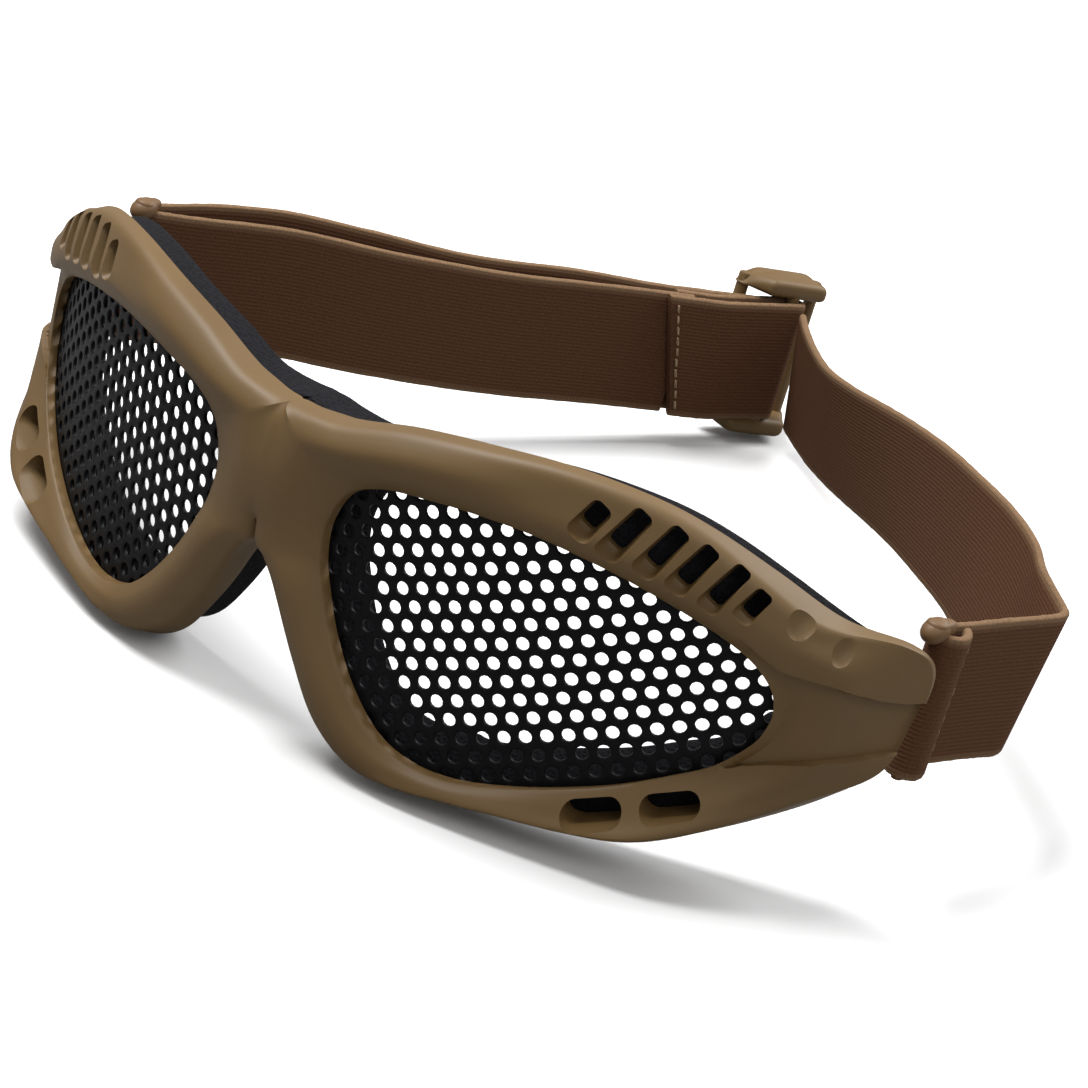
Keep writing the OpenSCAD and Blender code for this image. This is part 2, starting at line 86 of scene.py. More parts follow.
def makeObject(name, points, faces, smoothAngle=35.0, uvs=None, weld=0.0):
    mesh = bpy.data.meshes.new(name)
    mesh.from_pydata((np.asarray(points, float) * mm).tolist(), [], [list(map(int, f)) for f in faces])
    if uvs is not None:
        layer = mesh.uv_layers.new(name="UVMap")
        layer.data.foreach_set("uv", np.concatenate([np.asarray(u, float).ravel() for u in uvs]))
    shape = bmesh.new()
    shape.from_mesh(mesh)
    if weld:
        bmesh.ops.remove_doubles(shape, verts=shape.verts, dist=weld * mm)
    bmesh.ops.delete(shape, geom=[v for v in shape.verts if not v.link_faces], context="VERTS")
    bmesh.ops.recalc_face_normals(shape, faces=shape.faces)
    shape.to_mesh(mesh)
    shape.free()
    made = bpy.data.objects.new(name, mesh)
    bpy.context.scene.collection.objects.link(made)
    smooth(made, smoothAngle)
    return made


def pick(*objs):
    bpy.ops.object.select_all(action="DESELECT")
    for o in objs:
        o.select_set(True)
    bpy.context.view_layer.objects.active = objs[0]


def smooth(o, degrees):
    pick(o)
    bpy.ops.object.shade_smooth_by_angle(angle=math.radians(degrees))


def applyModifiers(o):
    pick(o)
    for m in list(o.modifiers):
        bpy.ops.object.modifier_apply(modifier=m.name)


def joinAll(name, objs):
    pick(*objs)
    if len(objs) > 1:
        bpy.ops.object.join()
    objs[0].name = name
    objs[0].data.name = name
    return objs[0]


def carve(o, cutter, operation):
    m = o.modifiers.new("carve", "BOOLEAN")
    m.operation = operation
    m.solver = "EXACT"
    m.object = cutter
    applyModifiers(o)
    bpy.data.objects.remove(cutter, do_unlink=True)


def loopFaces(rings, sections, closed):
    faces = []
    for i in range(rings if closed else rings - 1):
        for j in range(sections):
            a, b = i * sections + j, i * sections + (j + 1) % sections
            c, d = ((i + 1) % rings) * sections + (j + 1) % sections, ((i + 1) % rings) * sections + j
            faces.append([a, b, c, d])
    return faces


def cappedFaces(rings, sections):
    total = rings * sections
    return loopFaces(rings, sections, False) + [list(range(sections)), list(range(total - sections, total))]


def arc(centre, radius, start, end, steps):
    return [[centre[0] + radius * math.cos(a), centre[1] + radius * math.sin(a)]
            for a in np.radians(np.linspace(start, end, steps))]


def ease(low, high, value):
    t = np.clip((np.asarray(value, float) - low) / (high - low), 0, 1)
    return t * t * (3 - 2 * t)


def splinePoint(a, b, c, d, u):
    return 0.5 * (2 * b + (c - a) * u + (2 * a - 5 * b + 4 * c - d) * u ** 2
                  + (3 * b - a - 3 * c + d) * u ** 3)


def closedSpline(rows, t):
    rows = np.asarray(rows, float)
    n = len(rows)
    i = np.floor(t).astype(int)
    u = (t - i)[:, None]
    a, b, c, d = rows[(i - 1) % n], rows[i % n], rows[(i + 1) % n], rows[(i + 2) % n]
    return splinePoint(a, b, c, d, u)


def openSpline(rows, steps):
    rows = np.asarray(rows, float)
    rows = np.concatenate([[2 * rows[0] - rows[1]], rows, [2 * rows[-1] - rows[-2]]])
    out = []
    for i in range(1, len(rows) - 2):
        a, b, c, d = rows[i - 1:i + 3]
        for u in np.linspace(0, 1, steps, endpoint=False):
            out.append(splinePoint(a, b, c, d, u))
    out.append(rows[-2])
    return np.array(out)


# One eye of the front, as stations round the lens opening: opening x and z, outer edge x and z,
# depth behind the wrap of crest, middle, front edge and rear edge, flare, and the foam's inset
rimRows = [
    [12.5, 33.5, 0.0, 34.0, -2.8, -3.6, -3.4, 5.0, 0.0, 0.0],
    [12.2, 39.5, 0.0, 45.0, -3.0, -4.4, -4.4, 5.0, 0.0, 0.0],
    [14.8, 45.4, 0.0, 54.8, -3.2, -4.4, -2.7, 3.6, 0.0, 0.0],
    [20.5, 48.6, 10.0, 55.7, -3.4, -4.4, -2.6, 3.6, 0.2, 2.2],
    [28.0, 50.0, 22.0, 59.0, -3.4, -4.2, -1.8, 3.6, 0.2, 2.2],
    [36.0, 50.8, 35.0, 61.1, -3.2, -3.5, -1.5, 3.6, 0.2, 2.2],
    [45.0, 50.9, 47.0, 62.2, -3.0, -2.0, -0.8, 3.6, 0.2, 2.2],
    [54.0, 49.8, 58.5, 61.4, -3.0, -1.5, -0.4, 3.8, 0.2, 2.2],
    [62.0, 48.0, 67.0, 59.0, -3.2, -2.0, -0.8, 4.0, 0.2, 2.2],
    [70.0, 45.2, 75.5, 54.7, -3.6, -3.3, -2.2, 4.5, 0.2, 2.2],
    [76.2, 41.9, 84.0, 49.5, -4.0, -4.5, -2.2, 5.5, 0.0, 2.4],
    [80.0, 37.8, 92.2, 47.2, -4.0, -4.6, 2.4, 10.2, -2.2, 5.4],
    [81.2, 34.0, 94.8, 43.0, -4.0, -4.2, 5.4, 11.0, -2.4, 8.0],
    [81.0, 31.0, 94.8, 33.5, -4.0, -4.2, 5.0, 9.2, -2.4, 8.0],
    [79.8, 27.6, 93.6, 24.6, -3.6, -4.4, 2.4, 7.4, -2.2, 7.0],
    [76.0, 22.7, 87.4, 19.2, -3.2, -5.2, -3.0, 6.0, 0.0, 2.4],
    [70.8, 19.0, 79.0, 13.2, -3.0, -5.4, -7.0, 5.0, 0.8, 0.8],
    [64.5, 15.2, 71.0, 8.8, -2.8, -4.6, -7.4, 5.0, 1.2, 0.4],
    [57.5, 12.0, 61.5, 6.6, -2.6, -3.8, -5.5, 5.0, 1.5, 0.4],
    [50.0, 9.2, 52.0, 5.4, -2.5, -3.5, -4.2, 5.0, 1.8, 0.4],
    [42.0, 7.1, 43.5, 4.2, -2.5, -3.2, -3.5, 5.0, 2.0, 0.4],
    [35.0, 7.0, 33.5, 2.8, -2.5, -2.8, -3.0, 5.0, 2.0, 0.4],
    [28.5, 9.2, 25.0, 2.8, -2.5, -2.6, -1.6, 5.0, 1.6, 0.4],
    [22.5, 14.6, 17.0, 7.0, -2.6, -2.4, -0.8, 5.0, 1.2, 0.4],
    [17.5, 21.8, 10.8, 15.0, -2.8, -2.8, -0.8, 5.0, 0.8, 0.4],
    [14.3, 28.5, 5.0, 25.5, -3.2, -3.6, -2.0, 5.0, 0.6, 0.4],
]
wrapRadius = 124.0
lipBack = 1.2
seatRadius = 2.6
lensThickness = 0.8


def wrapY(x):
    return wrapRadius - np.sqrt(wrapRadius ** 2 - x ** 2)


def lensBackY(x):
    return lipBack + 0.05 + wrapRadius - np.sqrt((wrapRadius - lensThickness) ** 2 - x ** 2)


def rimPoint(s, r, depth, behindLens=False):
    inner = s[:, 0:2]
    outer = np.stack([np.maximum(s[:, 2], 0), s[:, 3]], -1)
    width = np.linalg.norm(outer - inner, axis=1)
    p = inner + (outer - inner) * (np.broadcast_to(r, width.shape) / width)[:, None]
    p[:, 0] = np.where(p[:, 0] < 0.02, 0, p[:, 0])
    y = (lensBackY(p[:, 0]) if behindLens else wrapY(p[:, 0])) + depth
    return np.stack([p[:, 0], y, p[:, 1]], -1)


def roundLoops(loops, cuts, steps=4):
    before = np.roll(loops, 1, axis=1) - loops
    after = np.roll(loops, -1, axis=1) - loops
    lengthBefore = np.linalg.norm(before, axis=-1, keepdims=True) + 1e-9
    lengthAfter = np.linalg.norm(after, axis=-1, keepdims=True) + 1e-9
    cuts = np.broadcast_to(cuts, loops.shape[:2])[..., None]
    start = loops + before * np.minimum(cuts / lengthBefore, 0.45)
    end = loops + after * np.minimum(cuts / lengthAfter, 0.45)
    parts = [(1 - s) ** 2 * start + 2 * s * (1 - s) * loops + s * s * end for s in np.linspace(0, 1, steps)]
    out = np.stack(parts, 2)
    return out.reshape(len(loops), -1, 3)


def twoEyes(name, loops, smoothAngle):
    rings, sections = loops.shape[:2]
    flat = loops.reshape(-1, 3)
    middle = np.abs(flat[:, 0]) < 0.02
    faces = [f for f in loopFaces(rings, sections, True) if not all(middle[i] for i in f)]
    count = len(flat)
    mirrored = flat * [-1, 1, 1]
    faces += [[i + count for i in reversed(f)] for f in faces]
    return makeObject(name, fromMould(np.concatenate([flat, mirrored])), faces, smoothAngle, weld=0.004)


# Where the two eyes meet, the surface is eased into one smooth saddle
def softenMiddle(o, reach, rounds):
    spots = np.array([v.co for v in o.data.vertices])
    pairs = np.array([e.vertices for e in o.data.edges])
    share = 0.4 * (1 - ease(reach * 0.3, reach, np.abs(spots[:, 0]) / mm))[:, None]
    ends = np.concatenate([pairs[:, 0], pairs[:, 1]])
    others = np.concatenate([pairs[:, 1], pairs[:, 0]])
    count = np.maximum(np.bincount(ends, minlength=len(spots)), 1)
    for _ in range(rounds):
        spots[:, 1] += share[:, 0] * (np.bincount(ends, spots[others, 1], len(spots)) / count - spots[:, 1])
    for v, p in zip(o.data.vertices, spots):
        v.co = p


stationTimes = np.arange(0, 26, 1 / 10)
# More stations where the temple's step crosses the rim
stepTimes = np.concatenate([np.arange(10.95, 12.3, 0.1), np.arange(12.3, 12.72, 0.02),
                            np.arange(13.46, 14.0, 0.02), np.arange(14.05, 15.1, 0.1)])
stationTimes = np.unique(np.round(np.concatenate([stationTimes, stepTimes]), 3))
stations = closedSpline(rimRows, stationTimes)
# Round the saddle: the brow's top line and the arch under the bridge run level through the middle
saddle = {"top": 55.0, "rise": 0.7, "arch": 2.0, "archHalf": 1.3}
onTop = (stationTimes >= 2) & (stationTimes <= 3)
stations[onTop, 3] = saddle["top"] + saddle["rise"] * (stations[onTop, 2] / 10) ** 2
inArch = (stationTimes > 25) | (stationTimes == 0)
stations[inArch, 3] -= saddle["arch"] * np.exp(-(stations[inArch, 2] / saddle["archHalf"]) ** 2)
outerEdge = np.stack([np.maximum(stations[:, 2], 0), stations[:, 3]], -1)
rimWidth = np.linalg.norm(stations[:, 0:2] - outerEdge, axis=1)
edgeShare = np.clip(stations[:, 2] / 2.5, 0, 1)
bridgeFall = np.maximum(1 - ease(0, 0.25, stationTimes), ease(1.75, 2, stationTimes))
fallShare = np.where(stationTimes < 2, bridgeFall, 1)


# Front frame: the moulded rim with its brow band, recessed temple panel and lower band
def frameLoops():
    s, w = stations, rimWidth
    return np.stack([
        rimPoint(s, 0, -0.9),
        rimPoint(s, 0.1 * w, 0.6 * s[:, 4]),
        rimPoint(s, 0.3 * w, s[:, 4]),
        rimPoint(s, 0.62 * w, s[:, 5]),
        rimPoint(s, 0.93 * w, s[:, 6]),
        rimPoint(s, w, s[:, 6] + (1.6 - 0.4 * edgeShare) * fallShare),
        rimPoint(s, w + s[:, 8] * edgeShare, s[:, 7]),
        rimPoint(s, seatRadius, 0.1, True),
        rimPoint(s, seatRadius, lipBack),
        rimPoint(s, 0, lipBack),
    ], 1)


# The temple's step: where its two lines lie across the rim, and how deep the panel between them is
templeStep = {
    "upper": [[9.6, 0.26], [10.22, 0.22], [10.64, 0.23], [11.12, 0.38], [11.58, 0.52], [12.1, 0.66],
              [12.38, 0.76], [12.55, 0.87], [12.62, 1.0], [12.68, 1.1]],
    "lower": [[13.46, 1.1], [13.54, 0.98], [13.7, 0.82], [13.76, 0.73], [13.86, 0.57], [14.05, 0.4],
              [14.28, 0.26], [14.56, 0.14], [14.96, 0.03], [15.3, -0.08]],
    "depth": 2.1, "rest": 0.9, "half": 0.3, "front": [2, 24], "rows": 24, "between": 13.1,
}


def cutTemple(loops):
    cut = templeStep
    first, last = cut["front"]
    fronts, depths = [], []
    for ring, t, w, s in zip(loops, stationTimes, rimWidth, stations):
        front = ring[first:last]
        along = np.concatenate([[0], np.cumsum(np.linalg.norm(np.diff(front, axis=0), axis=1))])
        share = np.maximum.accumulate(np.linalg.norm(front[:, [0, 2]] - s[0:2], axis=1) / w)
        share = share + np.arange(len(share)) * 1e-7
        line = cut["upper"] if t < cut["between"] else cut["lower"]
        at = float(np.interp(t, [p[0] for p in line], [p[1] for p in line]))
        edges = np.interp([at - cut["half"] / w, at + cut["half"] / w], share, along)
        spots = np.sort(np.concatenate([np.linspace(0, along[-1], cut["rows"]), edges]))
        front = np.stack([np.interp(spots, along, front[:, k]) for k in range(3)], -1)
        inside = np.clip(0.5 + (at - np.interp(spots, along, share)) * w / (2 * cut["half"]), 0, 1)
        if t < cut["between"]:
            sunk = cut["depth"] * float(ease(9.6, 12.0, t)) ** 0.6 * inside
        else:
            rest = cut["rest"] * (1 - float(ease(14.3, 17.2, t)))
            sunk = rest + (cut["depth"] - rest) * inside * (1 - float(ease(14.9, 15.3, t)))
        fronts.append(front)
        depths.append(sunk * ease(0.0, 0.1, np.interp(spots, along, share)))
    fronts, depths = np.array(fronts), np.array(depths)
    normals = np.cross(np.gradient(fronts, axis=1), np.roll(fronts, -1, axis=0) - np.roll(fronts, 1, axis=0))
    normals /= np.linalg.norm(normals, axis=2, keepdims=True) + 1e-12
    normals *= np.sign((normals * [0.5, -1.0, 0.0]).sum(2, keepdims=True))
    normals[:, -6:] = normals[:, -7:-6]
    fronts = fronts - normals * depths[..., None]
    return np.concatenate([loops[:, :first], fronts, loops[:, last:]], 1)


frameCuts = {
    "vents": [[52.4, 57.0, 0.5, 0.6], [57.4, 56.4, 0.5, 1], [62.9, 55.5, 0, 1], [67.7, 54.2, -1, 1],
              [72.5, 52.6, -2, 1], [76.7, 51.1, -3, 0.62]],
    "ventWidth": 2.95, "ventHeight": 7.4, "ventLean": 29, "ventYaw": 25, "ventCorner": 0.8,
    "ventSlant": 24,
    "slots": [[64.1, 10.9, -3.6], [74.3, 15.4, -5.7]],
    "slotLength": 9.4, "slotHeight": 4.2, "slotRise": 22, "slotYaw": 24,
    "dimples": [[82.6, 29.0, 49.6], [87.9, 34.3, 46.2]], "dimpleRadii": [2.8, 1.9, 3.9],
    "dimpleLean": 28, "dimpleOut": 0.75, "dimpleShrink": 0.18, "dimpleTilt": -26, "dimpleYaw": 50,
    "rounding": [0.25, 0.7, 2.0, 2.6, 1.2, 0.8, 0.9, 0.15, 0.15, 0.25],
}


def edgeCuts(values, outerOnes):
    cuts = np.tile(np.array(values, float), (len(stations), 1))
    for i in outerOnes:
        cuts[:, i] *= edgeShare
    return cuts


def slotOutline(width, height, corner, grow, drop, steps=6):
    r = corner + grow
    x, z = width / 2 + grow - r, height / 2 + grow - r
    low = -z - drop
    out = []
    for cx, cz, start in ((x, z, 0), (-x, z, 90), (-x, low, 180), (x, low, 270)):
        out += arc([cx, cz], r, start, start + 90, steps)
    return out


def slotCutter(place, yaw, lean, width, height, corner, scoop, slant=0):
    levels = [(-12, 0, 0), (-1.4, 0, 0), (-0.3, 0.05, 0.2 * scoop), (0.4, 0.25, 0.7 * scoop),
              (3.2, 0.7, 1.4 * scoop)]
    points = []
    for forward, grow, drop in levels:
        outline = slotOutline(width, height, corner, grow, drop)
        points += [[x, y, forward] for x, y in outline]
    points = turnX(turnZ(np.array(points), -lean), 90)
    points[:, 2] -= np.maximum(points[:, 1] - 1.0, 0) * math.tan(math.radians(slant))
    points = turnZ(points, yaw) + place
    count = len(outline)
    return points, cappedFaces(len(levels), count)


def makeFrame():
    loops = roundLoops(frameLoops(), edgeCuts(frameCuts["rounding"], (5, 6)))
    body = twoEyes("frame_visual", cutTemple(loops), 32)
    softenMiddle(body, 8.0, 12)
    pieces = []
    cut = frameCuts
    for x, z, depth, share in cut["vents"]:
        place = [x, float(wrapY(np.array(x))) + depth, z]
        pieces.append(slotCutter(place, cut["ventYaw"], cut["ventLean"], cut["ventWidth"],
                                 cut["ventHeight"] * share, cut["ventCorner"], 1, cut["ventSlant"]))
    for x, z, depth in cut["slots"]:
        place = [x, float(wrapY(np.array(x))) + depth, z]
        pieces.append(slotCutter(place, cut["slotYaw"], 90 - cut["slotRise"], cut["slotHeight"],
                                 cut["slotLength"], cut["slotHeight"] / 2 - 0.05, 0))
    groups = [[], []]
    for side in (1, -1):
        for i, (points, faces) in enumerate(pieces):
            points = fromMould(points * [side, 1, 1])
            groups[i % 2].append(makeObject(f"cutter{side}{i}", points, faces))
        for i, place in enumerate(frameCuts["dimples"]):
            bpy.ops.mesh.primitive_uv_sphere_add(segments=28, ring_count=16, radius=1)
            ball = bpy.context.object
            size = 1 - frameCuts["dimpleShrink"] * i
            spots = np.array([v.co for v in ball.data.vertices]) * frameCuts["dimpleRadii"] * size
            spots = turnX(turnZ(turnX(spots, -90), -frameCuts["dimpleLean"]), 90)
            spots = turnX(spots - [0, frameCuts["dimpleOut"] * size, 0], frameCuts["dimpleTilt"])
            spots = turnZ(spots, frameCuts["dimpleYaw"])
            spots = fromMould((spots + place) * [side, 1, 1]) * mm
            for v, p in zip(ball.data.vertices, spots):
                v.co = p
            if side < 0:
                ball.data.flip_normals()
            groups[i].append(ball)
    for cutters in groups:
        carve(body, joinAll("cutters", cutters), "DIFFERENCE")
    smooth(body, 34)
    return body


frameBody = makeFrame()
print("stage: front frame", len(frameBody.data.polygons))

# Lens: perforated sheet, holes on a turned triangular lattice with rounded edges
lensShape = {"pitch": 3.5, "hole": 2.25, "turn": 22.0, "margin": 2.2, "border": 0.5, "edge": 0.16,
             "middle": [46.0, 29.0]}
lensOutline = rimPoint(closedSpline(rimRows, np.arange(0, 26, 26 / 104)), lensShape["margin"], 0)[:, [0, 2]]


def insideDistance(p, outline):
    a, b = outline, np.roll(outline, -1, axis=0)
    ab = b - a
    u = np.clip(((p - a) * ab).sum(1) / (ab * ab).sum(1), 0, 1)[:, None]
    d = np.linalg.norm(p - a - ab * u, axis=1).min()
    crosses = (a[:, 1] > p[1]) != (b[:, 1] > p[1])
    hits = crosses & (p[0] < ab[:, 0] * (p[1] - a[:, 1]) / (ab[:, 1] + 1e-12) + a[:, 0])
    return d if hits.sum() % 2 else -d


def makeLens(name, side):
    pitch, turn = lensShape["pitch"], math.radians(lensShape["turn"])
    middle = lensShape["middle"]
    unrolledX = wrapRadius * math.asin(middle[0] / wrapRadius)
    points, faces = [], []
    angles = np.radians(np.arange(12) * 30)
    corner = pitch / math.sqrt(3)
    ringRadius = np.where(np.arange(12) % 2 == 1, corner, pitch / 2)
    hexagon = np.stack([ringRadius * np.cos(angles), ringRadius * np.sin(angles)], -1)
    circle = np.stack([np.cos(angles), np.sin(angles)], -1)
    r, e, t = lensShape["hole"] / 2, lensShape["edge"], lensThickness
    for j in range(-12, 13):
        for i in range(-16, 17):
            u, v = (i + (0.5 if j % 2 else 0)) * pitch, j * pitch * math.sqrt(3) / 2
            at = np.array([u * math.cos(turn) - v * math.sin(turn) + unrolledX,
                           u * math.sin(turn) + v * math.cos(turn) + middle[1]])
            x = wrapRadius * math.sin(at[0] / wrapRadius)
            inside = insideDistance(np.array([x, at[1]]), lensOutline)
            if inside < -2.4:
                continue
            base = len(points)
            if inside > r + lensShape["border"]:
                levels = [(hexagon, 0), (circle * (r + e), 0), (circle * (r + 0.3 * e), 0.3 * e),
                          (circle * r, e), (circle * r, t - e), (circle * (r + e), t), (hexagon, t)]
                for outline, depth in levels:
                    for a, b in outline:
                        points.append([a * math.cos(turn) - b * math.sin(turn) + at[0],
                                       a * math.sin(turn) + b * math.cos(turn) + at[1], depth])
                for k in range(len(levels) - 1):
                    for n in range(12):
                        m = (n + 1) % 12
                        faces.append([base + k * 12 + n, base + k * 12 + m, base + k * 12 + 12 + m,
                                      base + k * 12 + 12 + n])
            else:
                for depth in (0, t):
                    for a, b in hexagon:
                        points.append([a * math.cos(turn) - b * math.sin(turn) + at[0],
                                       a * math.sin(turn) + b * math.cos(turn) + at[1], depth])
                faces.append([base + n for n in range(12)])
                faces.append([base + 12 + n for n in reversed(range(12))])
    flat = np.array(points)
    mesh = bpy.data.meshes.new(name)
    mesh.from_pydata(flat.tolist(), [], faces)
    shape = bmesh.new()
    shape.from_mesh(mesh)
    bmesh.ops.remove_doubles(shape, verts=shape.verts, dist=0.01)
    rims = [edge for edge in shape.edges if len(edge.link_faces) == 1]
    near = {}
    for edge in rims:
        for v in edge.verts:
            near[(round(v.co.x, 2), round(v.co.y, 2), v.co.z > t / 2)] = v
    for edge in [edge for edge in rims if edge.verts[0].co.z < t / 2]:
        a, b = edge.verts
        c = near.get((round(b.co.x, 2), round(b.co.y, 2), True))
        d = near.get((round(a.co.x, 2), round(a.co.y, 2), True))
        if c and d:
            shape.faces.new([a, b, c, d])
    for v in shape.verts:
        radius = wrapRadius - v.co.z
        angle = v.co.x / wrapRadius
        depth = lipBack + 0.05 + wrapRadius - radius * math.cos(angle)
        v.co = fromMould(np.array([radius * math.sin(angle) * side, depth, v.co.y])) * mm
    bmesh.ops.recalc_face_normals(shape, faces=shape.faces)
    shape.to_mesh(mesh)
    shape.free()
    sheet = bpy.data.objects.new(name, mesh)
    bpy.context.scene.collection.objects.link(sheet)
    count = len(lensOutline)
    prism = np.concatenate([np.insert(lensOutline, 1, y, axis=1) for y in (-3.0, 70.0)]) * [side, 1, 1]
    cutter = makeObject("outline", fromMould(prism), cappedFaces(2, count))
    carve(sheet, cutter, "INTERSECT")
    smooth(sheet, 50)
    return sheet


lensLeft = makeLens("lens_left_visual", 1)
lensRight = makeLens("lens_right_visual", -1)
print("stage: lenses", len(lensLeft.data.polygons), len(lensRight.data.polygons))

# Foam gasket behind the frame
foamShape = {"depth": 8.0, "gap": 0.3, "bulge": 4.6}


def foamLoops():
    s, share = stations, edgeShare
    gap, depth = foamShape["gap"], foamShape["depth"]
    w = rimWidth + s[:, 8] * share
    outR = w - s[:, 9] * share
    seat = rimPoint(s, seatRadius, gap + 0.1, True)
    back = rimPoint(s, rimWidth, s[:, 7] + gap)
    edge = seat + (back - seat) * ((outR - seatRadius) / (w - seatRadius))[:, None]
    edgeBack = edge + np.stack([0 * w, depth - fallShare, 0 * w], -1)
    rearDepth = edge[:, 1] - wrapY(edge[:, 0]) + depth
    inward = foamShape["bulge"] * ease(11.5, 13.5, stationTimes) * (1 - ease(20.5, 23.0, stationTimes))
    return np.stack([
        rimPoint(s, 0.3, gap, True), seat, edge, edge + (edgeBack - edge) * 0.5, edgeBack,
        rimPoint(s, outR - 1, rearDepth), rimPoint(s, 1.4 - inward, depth + 1.6, True),
        rimPoint(s, -0.4 - inward, depth + 0.6, True),
    ], 1)


foamCuts = edgeCuts([0.3, 0.2, 0.4, 2.0, 1.6, 1.4, 1.6, 1.4], (2, 3, 4, 5))
foam = twoEyes("foam_gasket_visual", roundLoops(foamLoops(), foamCuts), 60)
softenMiddle(foam, 8.0, 8)
print("stage: foam", len(foam.data.polygons))


# Webbing: a ribbon with thick edges, swept along a line
def ribbon(name, spots, across):
    spots, across = np.asarray(spots, float), np.asarray(across, float)
    tangent = np.gradient(spots, axis=0)
    tangent /= np.linalg.norm(tangent, axis=1)[:, None]
    normal = np.cross(tangent, across)
    normal /= np.linalg.norm(normal, axis=1)[:, None]
    width, t = webbing["width"], webbing["thickness"] / 2
    half = width / 2
    section = [[a, t] for a in np.linspace(-half + t, half - t, 17)]
    section += [[half - t + t * math.cos(a), t * math.sin(a)] for a in np.radians([60, 30, 0, -30, -60])]
    section += [[a, -t] for a in np.linspace(half - t, -half + t, 17)]
    section += [[-half + t - t * math.cos(a), -t * math.sin(a)] for a in np.radians([60, 30, 0, -30, -60])]
    section = np.array(section)
    along = np.concatenate([[0], np.cumsum(np.linalg.norm(np.diff(spots, axis=0), axis=1))])
    n, m = len(spots), len(section)
    points = (spots[:, None] + across[:, None] * section[None, :, 0:1]
              + normal[:, None] * section[None, :, 1:2])
    points = points.reshape(-1, 3)
    wobble = noise.normal(0, 0.035, len(points))
    edgeRow = np.tile(np.abs(section[:, 0]) > half - t, n)
    points += np.repeat(across, m, axis=0) * (wobble * edgeRow)[:, None]
    faces, uvs = [], []
    for i in range(n - 1):
        for j in range(m):
            k = (j + 1) % m
            faces.append([i * m + j, i * m + k, (i + 1) * m + k, (i + 1) * m + j])
            v0, v1 = section[j, 0] / width + 0.5, section[k, 0] / width + 0.5
            u0, u1 = along[i] / 25, along[i + 1] / 25
            uvs.append([[u0, v0], [u0, v1], [u1, v1], [u1, v0]])
    for ring in (0, n - 1):
        faces.append([ring * m + j for j in range(m)])
        uvs.append([[along[ring] / 25, section[j, 0] / width + 0.5] for j in range(m)])
    return makeObject(name, points, faces, 50, uvs)


def flatAcross(line):
    return np.tile([0.0, 0.0, 1.0], (len(line), 1))


def rotateOnly(place, vectors, at):
    return place(at + vectors) - place(at)


# Left side and back of the strap in one piece: flap, turn round the bar, run to the crease, back
leftStrap = {
    "flap": [[90.75, 5.0], [92.0, 3.2], [92.75, 1.4]],
    "run": [[88.35, 2.0], [88.7, 4.5], [89.15, 8.0], [90.1, 18.0], [90.9, 25.0]],
    "crease": [91.5, 32.0], "corner": [-35.5, 135.5], "cornerRise": 3.0, "slant": 0.27,
    "foldReach": 3.0, "startAt": 1.1, "endShort": 3.6,
    "course": [[0.06, 3, -3], [0.12, 4.8, -5], [0.2, 5.6, -3], [0.3, 5.2, 2.5], [0.4, 4.1, 5.5],
               [0.5, 2.4, 10], [0.6, 0.1, 14.5], [0.7, -2.4, 18], [0.8, -4.4, 19], [0.88, -4.8, 16],
               [0.94, -4.2, 13], [0.98, -3.4, 10]],
}


def makeLeftStrap():
    bar = [strapFrame["barX"], 0]
    crease, corner = np.array(leftStrap["crease"]), np.array(leftStrap["corner"])
    backDir = (corner - crease) / np.linalg.norm(corner - crease)
    sideways = np.array([-backDir[1], backDir[0]])
    rows = [[x, y, 0, 0, 0, 1] for x, y in leftStrap["flap"]]
    rows += [[x, y, 0, 0, 0, 1] for x, y in arc(bar, webbing["plyOffset"], 0, -180, 9)]
    rows += [[x, y, 0, 0, leftStrap["slant"] * max(0, y - 8) / 24, 1] for x, y in leftStrap["run"]]
    for share in (0, 0.5, 1):
        a, b = crease - [0.2, leftStrap["foldReach"]], crease + backDir * leftStrap["foldReach"]
        p = (1 - share) ** 2 * a + 2 * share * (1 - share) * crease + share ** 2 * b
        rows.append([p[0], p[1], 0.3 * share, 0, leftStrap["slant"], 1])
    start, end = crease + backDir * leftStrap["startAt"], corner - backDir * leftStrap["endShort"]
    for share, rise, lean in leftStrap["course"]:
        p = start + (end - start) * share
        lean = math.radians(lean)
        slant = leftStrap["slant"] * float(1 - ease(0.0, 0.16, share))
        rows.append([p[0], p[1], leftStrap["cornerRise"] * share + rise,
                     sideways[0] * math.sin(lean) + backDir[0] * slant,
                     sideways[1] * math.sin(lean) + backDir[1] * slant, math.cos(lean)])
    rows = openSpline(rows, 7)
    across = rows[:, 3:6]
    spots = fromStrap(rows[:, 0:3])
    return ribbon("strap_left_and_back", spots, rotateOnly(fromStrap, across, rows[:, 0:3]))


strapLeftBack = makeLeftStrap()

# Right run: outer ply from the corner, round the right bar, and the inner ply back to the fold
rightStrap = {
    "outer": [[-0.3, 145.2, -0.8], [-1.6, 143.6, -1.0], [-2.3, 141.0, -1.1], [-2.45, 131.0, -1.3],
              [-2.45, 112.0, -1.5], [-2.45, 93.0, -0.9], [-2.45, 69.0, -1.1], [-2.45, 47.0, 0.8],
              [-2.45, 28.0, 2.2], [-2.45, 14.0, 1.6], [-2.45, 6.0, 0.6], [-2.45, 2.0, 0.1]],
    "inner": [[2.45, 2.0, 0], [2.45, 8.0, 0], [2.45, 28.0, 0.3], [2.1, 50.0, -1.4], [1.55, 76.0, -2.4],
              [1.45, 92.0, -2.1], [1.45, 106.0, -1.8], [1.45, 118.4, -1.7]],
}


